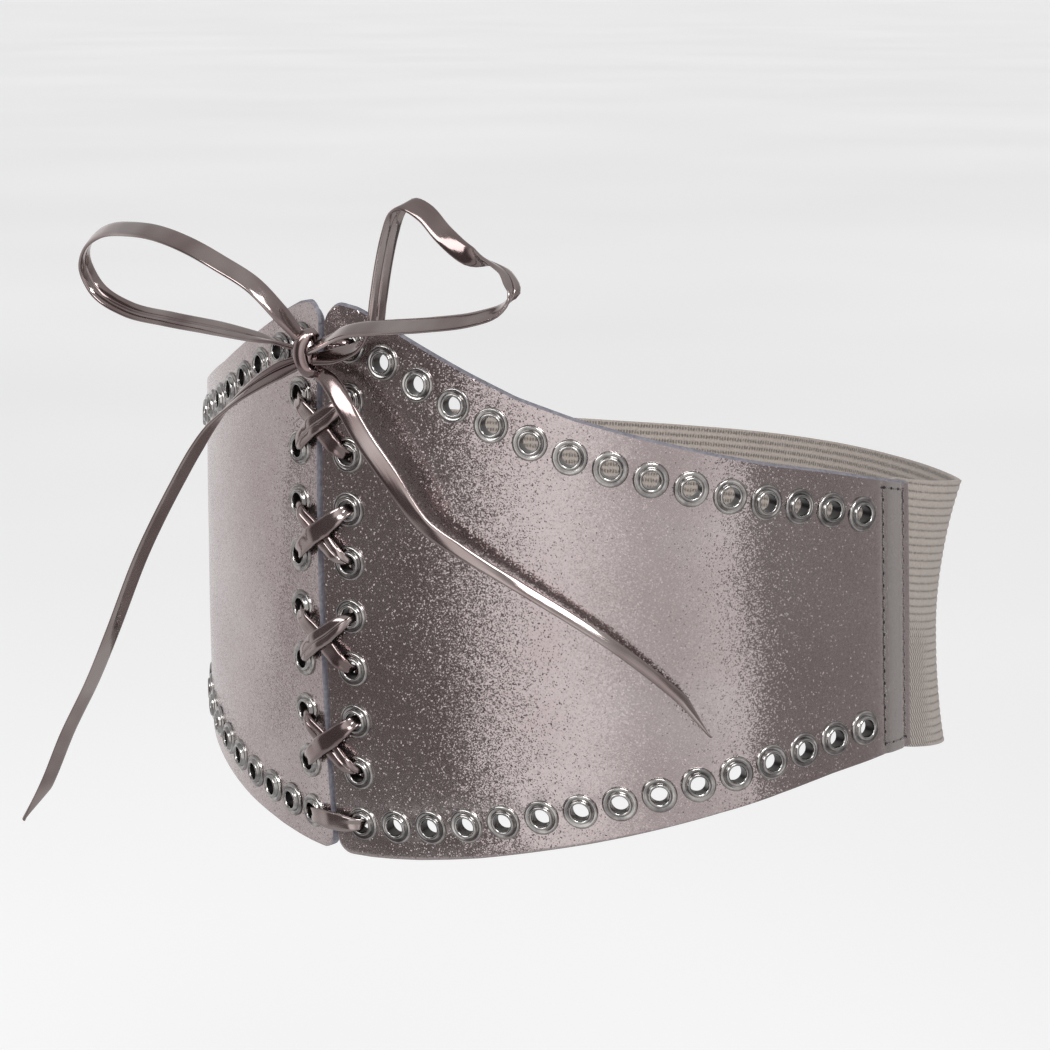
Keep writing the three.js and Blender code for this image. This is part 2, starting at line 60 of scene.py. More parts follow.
# The lace's free stretches: two loops of the bow and two tails, held by the knot alone.
# The lace is a strip of foil-coated faux leather, folded lengthwise and pressed flat. Its fold's
# raw edges meet in a seam along the back.
MM = 0.001
LACE_WIDTH = 5.4 * MM
LACE_THICK = 1.2 * MM
KNOT_CENTRE = Vector((2.5, -97.8, 62.7)) * MM

# Its section: across and through, as shares of its width and thickness.
LACE_SECTION = [
    (-0.41, 0.40), (-0.25, 0.48), (-0.08, 0.5), (0.08, 0.5), (0.25, 0.48), (0.41, 0.40),
    (0.475, 0.25), (0.5, 0.0), (0.475, -0.27), (0.41, -0.42), (0.27, -0.5), (0.13, -0.5),
    (0.08, -0.44), (0.06, -0.12), (0.03, -0.14), (0.0, -0.36), (-0.08, -0.41), (-0.25, -0.42),
    (-0.41, -0.38), (-0.475, -0.24), (-0.5, 0.0), (-0.475, 0.22),
]

# Routes from the knot outwards: places from the knot's centre in millimetres, as in the solids,
# and the direction across the lace's flat.
BOW_LOOP_LEFT = [
    (-1.7, -1.5, 4.4, 0, 0.74, 0.67),
    (-5.1, -5.8, 11.1, 0, 0.74, 0.67),
    (-11.1, -9.4, 18.2, 0, 0.74, 0.67),
    (-21.4, -12.2, 23.7, 0, 0.74, 0.67),
    (-33, -13.2, 27.9, 0, 0.74, 0.67),
    (-45.5, -13.2, 30.4, 0, 0.74, 0.67),
    (-57.5, -12.2, 30.7, 0, 0.74, 0.67),
    (-71.7, -9.2, 29.1, 0, 0.74, 0.67),
    (-82.9, -6.2, 24.3, 0, 0.74, 0.67),
    (-88.6, -2.7, 17.8, 0, 0.74, 0.67),
    (-86.1, -0.2, 10.6, 0, 0.74, 0.67),
    (-74.8, 1, 5.9, 0, 0.74, 0.67),
    (-56.8, 1, 4.4, 0, 0.74, 0.67),
    (-36.8, 0.6, 3.5, 0, 0.8, 0.6),
    (-20.5, -0.2, 2.5, 0, 0.9, 0.3),
    (-10.5, -0.8, 1.7, 0, 0.97, -0.2),
    (-3, -0.7, 0.8, 0, 0.97, -0.25),
]
BOW_LOOP_RIGHT = [
    (2.7, -1.7, 1.1, 0, 0.75, 0.66),
    (10, -4.2, 3.9, 0, 0.75, 0.66),
    (20.5, -6.6, 7.9, 0, 0.75, 0.66),
    (34.8, -8.2, 10.3, 0, 0.75, 0.66),
    (52.2, -8.2, 12.5, 0, 0.75, 0.66),
    (67.2, -7.2, 15.1, 0, 0.75, 0.66),
    (74.6, -5.2, 18, 0, 0.78, 0.62),
    (76.5, -3.2, 21.8, -0.2, 0.8, 0.55),
    (72.5, -0.7, 26.2, -0.5, 0.8, 0.2),
    (64.4, 0.8, 28.9, -0.65, 0.74, -0.19),
    (57.2, 0.8, 30.2, -0.4, -0.2, -0.8),
    (50.2, -0.2, 35, -0.3, -0.6, -0.74),
    (43.9, -0.2, 40, -0.3, -0.6, -0.74),
    (37.9, -0.2, 41.9, -0.3, -0.8, -0.5),
    (32.9, 0.8, 39.3, -0.3, -0.95, -0.1),
    (29.1, 1.8, 33.1, -0.3, -0.95, 0),
    (26.2, 2.3, 24.7, -0.3, -0.95, 0),
    (23.9, 2.6, 15.3, -0.3, -0.95, 0),
    (22.6, 2.2, 7.7, -0.2, -0.9, -0.3),
    (18.1, 1.2, 3.1, 0, -0.75, -0.65),
    (10.9, 0.2, 0.3, 0, -0.6, -0.8),
    (3.2, -0.6, -1.5, 0, -0.6, -0.8),
]
TAIL_LEFT = [
    (-2.7, 0, -2.7, -0.5, 0.3, 0.8),
    (-9.9, -1.6, -5.7, -0.5, 0.3, 0.8),
    (-16.9, -3.2, -9.6, -0.4, 0.5, 0.7),
    (-24.3, -4.2, -14.6, -0.2, 0.75, 0.55),
    (-32.8, -5.2, -22.1, 0.1, 0.9, 0.3),
    (-39.4, -6.2, -30.3, 0.05, 1, 0),
    (-46.1, -7.2, -40.1, 0.05, 1, 0),
    (-53.9, -8.2, -52.1, 0.05, 1, 0),
    (-60.9, -9.2, -64.2, 0.05, 1, 0),
    (-72, -10.2, -85.9, 0.05, 1, 0),
    (-81.9, -10.2, -102.7, 0.05, 1, 0),
    (-94, -10.2, -120.4, 0.05, 1, 0),
    (-103.6, -10.2, -136.7, 0.05, 1, 0),
    (-113.2, -10.2, -150.8, 0.05, 1, 0),
]
TAIL_RIGHT = [
    (1.5, 1.4, -4.8, 0.6, 0.4, 0.65),
    (7.3, 0.6, -7.1, 0.6, 0.44, 0.65),
    (14, -0.2, -13.5, 0.69, 0.44, 0.55),
    (19.6, 0.8, -21.5, 0.66, 0.43, 0.57),
    (26.2, 3.2, -30.7, 0.67, 0.36, 0.6),
    (35.3, 7, -43.7, 0.7, 0.05, 0.62),
    (44.4, 11, -50.1, 0.4, 0.3, 0.75),
    (61.6, 19.8, -60.6, 0.16, 0.6, 0.75),
    (78.8, 31.3, -73.1, 0.1, 0.65, 0.75),
    (87.9, 40.2, -82.8, 0.1, 0.65, 0.75),
    (93.4, 46.8, -90.3, 0.1, 0.65, 0.75),
    (98.5, 54, -98.8, 0.1, 0.65, 0.75),
]


# Materials are made from nodes, added by their kind and joined by their sockets.
def new_material(name):
    material = bpy.data.materials.new(name)
    material.use_nodes = True
    return material, material.node_tree


def node(tree, kind, links=None, **values):
    made = tree.nodes.new(kind)
    for key, value in values.items():
        if hasattr(made, key):
            setattr(made, key, value)
        else:
            made.inputs[key.replace("_", " ")].default_value = value
    for key, source in (links or {}).items():
        tree.links.new(source, made.inputs[key])
    return made


def surface(tree, links=None, **values):
    shader = tree.nodes["Principled BSDF"]
    for key, value in values.items():
        shader.inputs[key.replace("_", " ")].default_value = value
    for key, source in (links or {}).items():
        tree.links.new(source, shader.inputs[key])


def ramp(tree, source, stops):
    made = tree.nodes.new("ShaderNodeValToRGB")
    elements = made.color_ramp.elements
    while len(elements) < len(stops):
        elements.new(0.5)
    for element, (position, colour) in zip(elements, stops):
        element.position = position
        element.color = (*colour, 1)
    tree.links.new(source, made.inputs["Fac"])
    return made.outputs["Color"]


# Lace foil: warm pewter, pressed smooth, with darker and redder stretches and lengthwise streaks.
lace_foil, tree = new_material("lace_foil")
uv = node(tree, "ShaderNodeUVMap", uv_map="lace")
stretched = node(tree, "ShaderNodeMapping", {"Vector": uv.outputs["UV"]}, Scale=(60, 900, 1))
streaks = node(tree, "ShaderNodeTexNoise", {"Vector": stretched.outputs["Vector"]}, Scale=1.0, Detail=3)
spots = node(tree, "ShaderNodeTexCoord").outputs["Object"]
patches = node(tree, "ShaderNodeTexNoise", {"Vector": spots}, Scale=45.0, Detail=2)
tone = ramp(tree, patches.outputs["Fac"], [(0.35, (0.24, 0.185, 0.18)), (0.65, (0.42, 0.365, 0.35))])
gloss = node(tree, "ShaderNodeMapRange", {"Value": streaks.outputs["Fac"]}, To_Min=0.05, To_Max=0.2)
ripple = node(tree, "ShaderNodeTexNoise", {"Vector": spots}, Scale=160.0, Detail=3)
relief = node(
    tree, "ShaderNodeMath", {0: ripple.outputs["Fac"], 1: streaks.outputs["Fac"]}, operation="ADD"
)
bump = node(tree, "ShaderNodeBump", {"Height": relief.outputs["Value"]}, Strength=0.4, Distance=0.00009)
surface(
    tree,
    {"Base Color": tone, "Roughness": gloss.outputs["Result"], "Normal": bump.outputs["Normal"]},
    Metallic=0.97,
)


def finish_mesh(name, made, materials, smooth_angle=40):
    """The finished piece: smooth but for edges sharper than the angle, with its materials in order."""
    mesh = bpy.data.meshes.new(name)
    made.to_mesh(mesh)
    made.free()
    for polygon in mesh.polygons:
        polygon.use_smooth = True
    mesh.set_sharp_from_angle(angle=math.radians(smooth_angle))
    piece = bpy.data.objects.new(name, mesh)
    bpy.context.scene.collection.objects.link(piece)
    for material in materials:
        mesh.materials.append(material)
    return piece


def smooth_route(points, spacing):
    """Evenly spaced places on a smooth curve through the points, each with its reach among them."""
    ends = [2 * points[0] - points[1], *points, 2 * points[-1] - points[-2]]
    fine = []
    for i in range(len(points) - 1):
        p0, p1, p2, p3 = ends[i : i + 4]
        t1 = (p1 - p0).length ** 0.5
        t2 = t1 + (p2 - p1).length ** 0.5
        t3 = t2 + (p3 - p2).length ** 0.5
        for j in range(24):
            t = t1 + (t2 - t1) * j / 24
            a1 = p0 * (t1 - t) / t1 + p1 * t / t1
            a2 = p1 * (t2 - t) / (t2 - t1) + p2 * (t - t1) / (t2 - t1)
            a3 = p2 * (t3 - t) / (t3 - t2) + p3 * (t - t2) / (t3 - t2)
            b1 = a1 * (t2 - t) / t2 + a2 * t / t2
            b2 = a2 * (t3 - t) / (t3 - t1) + a3 * (t - t1) / (t3 - t1)
            fine.append((i + j / 24, b1 * (t2 - t) / (t2 - t1) + b2 * (t - t1) / (t2 - t1)))
    fine.append((len(points) - 1, points[-1].copy()))
    run = [0.0]
    for (_, a), (_, b) in zip(fine, fine[1:]):
        run.append(run[-1] + (b - a).length)
    count = max(2, round(run[-1] / spacing))
    even, k = [], 0
    for i in range(count + 1):
        goal = run[-1] * i / count
        while k < len(run) - 2 and run[k + 1] < goal:
            k += 1
        share = (goal - run[k]) / (run[k + 1] - run[k])
        reach = fine[k][0] + (fine[k + 1][0] - fine[k][0]) * share
        even.append((reach, fine[k][1].lerp(fine[k + 1][1], share)))
    return even, run[-1]


def strip(name, route, length, across_at, shape_at):
    """A length of lace: a sheet rolled into the lace's section and laid along the route."""
    steps = len(route) - 1
    around = len(LACE_SECTION)
    made = bmesh.new()
    bmesh.ops.create_grid(made, x_segments=steps, y_segments=around, size=0.5)
    uv_layer = made.loops.layers.uv.new("lace")
    spot = {v: (round((v.co.x + 0.5) * steps), round((v.co.y + 0.5) * around)) for v in made.verts}
    middles = [Vector() for _ in range(steps + 1)]
    for face in made.faces:
        for loop in face.loops:
            i, j = spot[loop.vert]
            loop[uv_layer].uv = (length * i / steps, 2 * LACE_WIDTH * j / around)
    for v, (i, j) in spot.items():
        reach, centre = route[i]
        before = route[max(i - 1, 0)][1]
        after = route[min(i + 1, steps)][1]
        tangent = (after - before).normalized()
        flat = across_at(reach)
        flat = (flat - tangent * flat.dot(tangent)).normalized()
        thick = tangent.cross(flat)
        a, t = LACE_SECTION[j % around]
        a, t = shape_at(length * i / steps, reach, a, t)
        v.co = centre + flat * a * LACE_WIDTH + thick * t * LACE_THICK
        middles[i] += v.co / (around + 1)
    bmesh.ops.remove_doubles(made, verts=made.verts, dist=1e-7)
    bmesh.ops.holes_fill(made, edges=[e for e in made.edges if e.is_boundary], sides=0)
    bmesh.ops.recalc_face_normals(made, faces=made.faces)
    return finish_mesh(name, made, [lace_foil], smooth_angle=70), middles


# A free stretch of lace. It gathers where it leaves the knot; a tail ends in a slanting cut.
GATHER = 7 * MM
SLANT = 13 * MM


def free_lace(name, cad_node, rows, far_end, facing=1, slim=1.0):
    """Facing turns the seam to the front with -1, and slim narrows the lace past its first quarter."""
    points = [KNOT_CENTRE + Vector(row[:3]) * MM for row in rows]
    across = [Vector(row[3:]).normalized() * facing for row in rows]
    route, run = smooth_route(points, 1.4 * MM)

    def across_at(reach):
        i = min(int(reach), len(across) - 2)
        return across[i].lerp(across[i + 1], reach - i)

    def shape_at(way, reach, a, t):
        near = way if far_end == "bare" else min(way, run - way)
        pinch = max(0.0, 1 - near / GATHER)
        a *= 1 - 0.3 * pinch
        a *= 1 + (slim - 1) * min(max(way / run * 4 - 1, 0), 1)
        t *= 1 + 0.35 * pinch
        if far_end == "bare" and run - way < SLANT:
            a = -0.5 + (a + 0.5) * max(0.12, (run - way) / SLANT)
        return a, t

    piece, middles = strip(name, route, run, across_at, shape_at)
    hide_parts(cad_node)
    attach(piece, "root")


free_lace("loop_left", "bow_loop_left", BOW_LOOP_LEFT, "object", -1)
free_lace("loop_right", "bow_loop_right", BOW_LOOP_RIGHT, "object")
free_lace("tail_left", "lace_tail_left", TAIL_LEFT, "bare")
free_lace("tail_right", "lace_tail_right", TAIL_RIGHT, "bare", 1, 0.62)


# The two panels, left and right: foil-coated faux leather on a felted backing, cut to shape with
# rounded front corners and a raw edge. Each is pressed in a little round every eyelet, and the
# lace in front and the elastic behind hold it round the waist.
PANEL_LENGTH = 182.0
PANEL_RISE = 76.0
PANEL_DROP = 80.2
PANEL_WALL = 2.4
CENTRE_GAP = 2.2
TOP_CORNER = 6.0
BOTTOM_CORNER = 4.5
FRONT_INSET = 9.65
TOP_INSET = 10.8
BOTTOM_INSET = 9.6
END_INSET = 20.5
COLUMN_COUNT = 10
ROW_COUNT = 15
SEAM_FRONT = 170.0  # the two rows of stitches at a panel's end
SEAM_BACK = 179.6
SEAM_GROOVE = 0.5
RAW_CUT = 0.75  # how far down the face, and how deep, the raw edge is cut away along the top
RAW_DEPTH = 1.0
WORN_EDGE = 0.45
HOLE_RADIUS = 3.3
PUCKER_RADIUS = 4.2
PUCKER_DEPTH = 0.32
PANEL_STEPS = 160
PANEL_ROWS = 132
PANEL_EDGES = [
    (0.0, 1.0, 1.0), (0.03, 1.0, 1.0), (0.065, 0.985, 0.998), (0.1, 0.952, 0.992),
    (0.15, 0.893, 0.98), (0.2, 0.838, 0.962), (0.25, 0.783, 0.942), (0.33, 0.7, 0.903),
    (0.42, 0.63, 0.858), (0.52, 0.566, 0.804), (0.62, 0.508, 0.75), (0.72, 0.455, 0.704),
    (0.82, 0.411, 0.666), (0.92, 0.36, 0.638), (1.0, 0.322, 0.634),
]

# The form that the belt keeps is a waist's outline, swept up and down with a slight lean and bow.
# Places on it are given by the way round from the centre front, the height and the depth off it.
HALF_GIRTH = 345.0
FRONT_DEPTH = 91.9
OUTLINE = [
    (0.0, 8.6), (0.043, 11.9), (0.101, 17.4), (0.174, 26.5), (0.246, 36.9), (0.319, 53.6),
    (0.391, 72.0), (0.464, 75.5), (0.551, 103.7), (0.652, 126.3), (0.768, 141.2), (0.884, 158.5),
    (1.0, 180.0),
]


def read(table, share, part=1):
    for before, after in zip(table, table[1:]):
        if share <= after[0]:
            mix = (share - before[0]) / (after[0] - before[0])
            return before[part] + (after[part] - before[part]) * mix
    return table[-1][part]


outline = [Vector((0, -FRONT_DEPTH))]
OUTLINE_STEPS = 345
for step in range(OUTLINE_STEPS):
    heading = math.radians(read(OUTLINE, (step + 0.5) / OUTLINE_STEPS))
    outline.append(outline[-1] + Vector((math.cos(heading), math.sin(heading))))
miss = outline[-1].x
for step, point in enumerate(outline):
    point.x -= miss * (step / OUTLINE_STEPS) ** 8


def skin(along, height):
    way = (along + HALF_GIRTH) % (2 * HALF_GIRTH) - HALF_GIRTH
    i = min(int(abs(way)), OUTLINE_STEPS - 1)
    flat = outline[i].lerp(outline[i + 1], abs(way) - i)
    up = height / 100
    wide = 1 - 0.029 * up + 0.014 * up * up
    deep = 1 + 0.011 * up - 0.056 * up * up
    side = -1 if way < 0 else 1
    return Vector((side * flat.x * wide, flat.y * deep - 0.0064 * height, height))


def directions(along, height):
    round_waist = (skin(along + 1, height) - skin(along - 1, height)).normalized()
    rise = (skin(along, height + 1) - skin(along, height - 1)).normalized()
    return round_waist, rise, round_waist.cross(rise).normalized()


def place(along, height, out):
    return (skin(along, height) + directions(along, height)[2] * out) * MM


def corner_cut(radius, inward):
    if inward >= radius:
        return 0.0
    return radius - math.sqrt(max(0.0, radius**2 - (radius - inward) ** 2))


def panel_top(along):
    edge = PANEL_RISE * read(PANEL_EDGES, along / PANEL_LENGTH, 1)
    return edge - corner_cut(TOP_CORNER, along - CENTRE_GAP / 2)


def panel_bottom(along):
    edge = -PANEL_DROP * read(PANEL_EDGES, along / PANEL_LENGTH, 2)
    return edge + corner_cut(BOTTOM_CORNER, along - CENTRE_GAP / 2)


column_top = PANEL_RISE * read(PANEL_EDGES, FRONT_INSET / PANEL_LENGTH, 1) - TOP_INSET
column_bottom = -PANEL_DROP * read(PANEL_EDGES, FRONT_INSET / PANEL_LENGTH, 2) + BOTTOM_INSET
column_eyelets = [
    (FRONT_INSET, column_top + (column_bottom - column_top) * i / (COLUMN_COUNT - 1))
    for i in range(COLUMN_COUNT)
]
row_eyelets = []
for i in range(1, ROW_COUNT):
    way = FRONT_INSET + (PANEL_LENGTH - END_INSET - FRONT_INSET) * i / (ROW_COUNT - 1)
    row_eyelets.append((way, panel_top(way) - TOP_INSET))
    row_eyelets.append((way, panel_bottom(way) + BOTTOM_INSET))

# Panel foil: pewter over brown. Its fine grains each lean their own way, so that every
# reflection breaks up into specks.
panel_foil, tree = new_material("panel_foil")
spots = node(tree, "ShaderNodeTexCoord").outputs["Object"]
clouds = node(tree, "ShaderNodeTexNoise", {"Vector": spots}, Scale=24.0, Detail=3)
tone = ramp(tree, clouds.outputs["Fac"], [(0.3, (0.415, 0.352, 0.35)), (0.7, (0.5, 0.447, 0.443))])
grains = node(tree, "ShaderNodeTexVoronoi", {"Vector": spots}, Scale=3300.0)

# Between the two seams the foil is pressed flatter and duller.
uv = node(tree, "ShaderNodeUVMap", uv_map="panel")
along_panel = node(tree, "ShaderNodeSeparateXYZ", {"Vector": uv.outputs["UV"]}).outputs["X"]
pressed = ramp(
    tree,
    along_panel,
    [
        ((SEAM_FRONT + 0.8) * MM, (0, 0, 0)),
        ((SEAM_FRONT + 2.2) * MM, (1, 1, 1)),
        ((SEAM_BACK - 2.0) * MM, (1, 1, 1)),
        ((SEAM_BACK - 0.8) * MM, (0, 0, 0)),
    ],
)
tint = node(tree, "ShaderNodeMix", {0: pressed, 6: tone}, data_type="RGBA")
tint.inputs[7].default_value = (0.56, 0.54, 0.525, 1)
tone = tint.outputs[2]
smooth = node(tree, "ShaderNodeMapRange", {"Value": pressed}, To_Min=0.15, To_Max=0.33)

# The grains lean to the sides more than up and down, a few of them far and most a little.
lean = node(tree, "ShaderNodeVectorMath", {0: grains.outputs["Color"]}, operation="SUBTRACT")
lean.inputs[1].default_value = (0.5, 0.5, 0.5)
sideways = node(tree, "ShaderNodeVectorMath", {0: lean.outputs["Vector"]}, operation="MULTIPLY")
sideways.inputs[1].default_value = (1, 1, 0.3)
lot = node(tree, "ShaderNodeSeparateXYZ", {"Vector": grains.outputs["Color"]})
rare = node(tree, "ShaderNodeMath", {0: lot.outputs["Z"]}, operation="POWER")
rare.inputs[1].default_value = 3
force = node(tree, "ShaderNodeMath", {0: rare.outputs["Value"]}, operation="MULTIPLY_ADD")
force.inputs[1].default_value = 0.58
force.inputs[2].default_value = 0.13
leaning = node(
    tree,
    "ShaderNodeVectorMath",
    {0: sideways.outputs["Vector"], "Scale": force.outputs["Value"]},
    operation="SCALE",
)
upright = node(tree, "ShaderNodeNewGeometry").outputs["Normal"]
leant = node(tree, "ShaderNodeVectorMath", {0: upright, 1: leaning.outputs["Vector"]}, operation="ADD")
facing = node(tree, "ShaderNodeVectorMath", {0: leant.outputs["Vector"]}, operation="NORMALIZE")
folds = node(tree, "ShaderNodeTexNoise", {"Vector": spots}, Scale=70.0, Detail=4)
soft = node(
    tree,
    "ShaderNodeBump",
    {"Height": folds.outputs["Fac"], "Normal": facing.outputs["Vector"]},
    Strength=0.2,
    Distance=0.0003,
)
surface(
    tree,
    {"Base Color": tone, "Roughness": smooth.outputs["Result"], "Normal": soft.outputs["Normal"]},
    Metallic=0.96,
)

# Its raw edge, and the felted backing that shows inside.
panel_edge, tree = new_material("panel_edge")
spots = node(tree, "ShaderNodeTexCoord").outputs["Object"]
fuzz = node(tree, "ShaderNodeTexNoise", {"Vector": spots}, Scale=900.0, Detail=4)
tone = ramp(tree, fuzz.outputs["Fac"], [(0.3, (0.13, 0.125, 0.147)), (0.7, (0.23, 0.222, 0.255))])
nap = node(tree, "ShaderNodeBump", {"Height": fuzz.outputs["Fac"]}, Strength=0.6, Distance=0.0002)
surface(tree, {"Base Color": tone, "Normal": nap.outputs["Normal"]}, Roughness=0.75)


def make_panel(side, name, cad_node):
    front = CENTRE_GAP / 2
    corner = [front + TOP_CORNER * (1 - math.cos(math.pi / 2 * i / 8)) for i in range(8)]
    rest = PANEL_LENGTH - front - TOP_CORNER
    stations = corner + [front + TOP_CORNER + rest * i / PANEL_STEPS for i in range(PANEL_STEPS + 1)]
    steps = len(stations) - 1
    rows = PANEL_ROWS
    made = bmesh.new()
    bmesh.ops.create_grid(made, x_segments=steps, y_segments=rows, size=0.5)
    for face in made.faces:
        face.material_index = int(face.calc_center_median().y > 0.5 - 1 / rows)
    for v in made.verts:
        station = stations[round((v.co.x + 0.5) * steps)]
        row = round((v.co.y + 0.5) * rows)
        low, high = panel_bottom(station), panel_top(station)
        level = high if row == rows else low + (high - RAW_CUT - low) * row / (rows - 1)
        v.co = Vector((station, level, 0))

    # A hole is cut under every eyelet, and its rim is drawn to a true circle.
    for along, height in column_eyelets + row_eyelets:
        centre = Vector((along, height, 0))
        near = [f for f in made.faces if (f.calc_center_median() - centre).length < HOLE_RADIUS]
        bmesh.ops.delete(made, geom=near, context="FACES")
    for v in made.verts:
        if v.is_boundary:
            for along, height in column_eyelets + row_eyelets:
                off = v.co - Vector((along, height, 0))
                if off.length < HOLE_RADIUS * 1.4:
                    v.co = Vector((along, height, 0)) + off.normalized() * HOLE_RADIUS
                    break

    # Pressed in round the eyelets and along the seams, and never quite flat between them.
    uv_layer = made.loops.layers.uv.new("panel")
    for face in made.faces:
        for loop in face.loops:
            loop[uv_layer].uv = (loop.vert.co.x * MM, loop.vert.co.y * MM)
    for v in made.verts:
        along, height = v.co.x, v.co.y
        out = 0.35 * noise.noise(Vector((along * 0.035, height * 0.02, side * 7.0)))
        for eye_along, eye_height in column_eyelets + row_eyelets:
            if abs(eye_along - along) < 12 and abs(eye_height - height) < 12:
                off = Vector((along - eye_along, height - eye_height))
                far = off.length
                angle = math.atan2(off.y, off.x)
                pucker = 0.35 + 0.65 * noise.noise(
                    Vector((math.cos(angle) * 1.6, math.sin(angle) * 1.6, eye_along + eye_height))
                )
                out -= PUCKER_DEPTH * math.exp(-(((far - PUCKER_RADIUS) / 2.2) ** 2)) * pucker
        for seam in (SEAM_FRONT, SEAM_BACK):
            out -= SEAM_GROOVE * math.exp(-(((along - seam) / 1.2) ** 2))
        if height > panel_top(along) - RAW_CUT / 2:
            out -= RAW_DEPTH
        v.co = place(side * along, height, out)
    if side < 0:
        bmesh.ops.reverse_faces(made, faces=made.faces)
    piece = finish_mesh(name, made, [panel_foil, panel_edge, panel_edge], smooth_angle=50)
    wall = piece.modifiers.new("wall", "SOLIDIFY")
    wall.thickness = PANEL_WALL * MM
    wall.offset = -1
    wall.material_offset = 1
    wall.material_offset_rim = 2
    round_edge = piece.modifiers.new("worn_edge", "BEVEL")
    round_edge.limit_method = "ANGLE"
    round_edge.angle_limit = math.radians(55)
    round_edge.width = WORN_EDGE * MM
    round_edge.material = 1
    round_edge.segments = 2
    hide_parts(cad_node)
    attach(piece, "root")


make_panel(1, "leather_right", "panel_right")
make_panel(-1, "leather_left", "panel_left")


# The eyelets: pressed nickel, each a flange with a rolled rim, a barrel through the panel and a
# washer behind, clenched on the felt. Ten in each front column take the lace, and a row of
# fourteen more runs along each edge.
BORE = 2.4
EYELET_PROFILE = [
    (BORE, -2.75), (BORE, 0.6), (2.46, 0.95), (2.68, 1.24), (3.0, 1.28), (3.28, 1.06),
    (3.42, 0.66), (3.56, 0.4), (3.85, 0.46), (4.25, 0.6), (4.62, 0.5), (4.86, 0.2),
    (4.92, -0.2), (3.2, -0.2), (3.2, -2.5), (4.2, -2.6), (4.3, -2.85), (4.0, -3.1), (3.2, -3.2),
]
EYELET_SIDES = 28

nickel, tree = new_material("nickel")
spots = node(tree, "ShaderNodeTexCoord").outputs["Object"]
tarnish = node(tree, "ShaderNodeTexNoise", {"Vector": spots}, Scale=260.0, Detail=4)
tone = ramp(tree, tarnish.outputs["Fac"], [(0.35, (0.23, 0.222, 0.217)), (0.62, (0.48, 0.465, 0.452))])
gloss = node(tree, "ShaderNodeMapRange", {"Value": tarnish.outputs["Fac"]}, To_Min=0.24, To_Max=0.1)
fine = node(tree, "ShaderNodeTexNoise", {"Vector": spots}, Scale=1400.0, Detail=2)
bump = node(tree, "ShaderNodeBump", {"Height": fine.outputs["Fac"]}, Strength=0.4, Distance=0.00002)
surface(
    tree,
    {"Base Color": tone, "Roughness": gloss.outputs["Result"], "Normal": bump.outputs["Normal"]},
    Metallic=1.0,
)

# Inside the barrel the bore is painted near black: painted shade, where little light reaches down the
# hole.
painted_shade_bore, tree = new_material("painted_shade_bore")
surface(tree, Base_Color=(0.1, 0.096, 0.094, 1), Metallic=1.0, Roughness=0.35)


def set_eyelets(name, side, eyelets, cad_nodes):
    made = bmesh.new()
    for along, height in eyelets:
        ring = bmesh.new()
        verts = [ring.verts.new((r, 0, out)) for r, out in EYELET_PROFILE]
        edges = [ring.edges.new((a, b)) for a, b in zip(verts, verts[1:] + verts[:1])]
        bmesh.ops.spin(
            ring,
            geom=verts + edges,
            cent=(0, 0, 0),
            axis=(0, 0, 1),
            angle=2 * math.pi,
            steps=EYELET_SIDES,
            use_merge=True,
        )
        bmesh.ops.recalc_face_normals(ring, faces=ring.faces)
        # The faces inside the bore take the painted shade.
        for face in ring.faces:
            middle = face.calc_center_median()
            face.material_index = int(middle.xy.length < BORE + 0.02 and middle.z < 0.5)
        round_waist, rise, out = directions(side * along, height)
        basis = Matrix((round_waist, rise, out)).transposed().to_4x4()
        at = Matrix.Translation(place(side * along, height, 0)) @ basis @ Matrix.Scale(MM, 4)
        bmesh.ops.transform(ring, matrix=at, verts=ring.verts)
        spare = bpy.data.meshes.new("spare")
        ring.to_mesh(spare)
        ring.free()
        made.from_mesh(spare)
        bpy.data.meshes.remove(spare)
    piece = finish_mesh(name, made, [nickel, painted_shade_bore], smooth_angle=60)
    if cad_nodes:
        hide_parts(*cad_nodes)
    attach(piece, "root")


for word, side in (("right", 1), ("left", -1)):
    column_nodes = [f"eyelet_{word}_{i + 1}" for i in range(COLUMN_COUNT)]
    set_eyelets(f"column_eyelets_{word}", side, column_eyelets, column_nodes)
    set_eyelets(f"top_eyelets_{word}", side, row_eyelets[0::2], [])
    set_eyelets(f"bottom_eyelets_{word}", side, row_eyelets[1::2], [])


# The elastic: a wide woven band with raised ribs along it, sewn behind the panels' ends and worn
# stretched. It flares at its top and bottom edges, where nothing holds it to the waist.
ELASTIC_HEIGHT = 77.0
ELASTIC_WALL = 1.6
ELASTIC_OVERLAP = 11.5
RIB = 2.2  # from one rib to the next
DOT = 0.95  # from one dot to the next along a groove
TWILL = 1.5  # from one slanting line of the twill to the next
BAND_LOW = 13.2  # how far below the belt's zero height its middle line leaves the panels
BAND_SINK = 13.0  # how much lower that line runs at the back
BAND_FREED = 39.0  # from a panel's end to where the band's edges stand free
TOP_FLARE = 7.2
BOTTOM_FLARE = 2.6
BAND_MIDDLE = (HALF_GIRTH - PANEL_LENGTH + ELASTIC_OVERLAP) * MM

elastic_weave, tree = new_material("elastic_weave")
uv = node(tree, "ShaderNodeUVMap", uv_map="band")
spots = node(tree, "ShaderNodeTexCoord").outputs["Object"]
course = node(tree, "ShaderNodeSeparateXYZ", {"Vector": uv.outputs["UV"]})


def reckon(operation, first, second=None, third=None):
    made = tree.nodes.new("ShaderNodeMath")
    made.operation = operation
    for i, given in enumerate((first, second, third)):
        if isinstance(given, (int, float)):
            made.inputs[i].default_value = given
        elif given is not None:
            tree.links.new(given, made.inputs[i])
    return made.outputs["Value"]
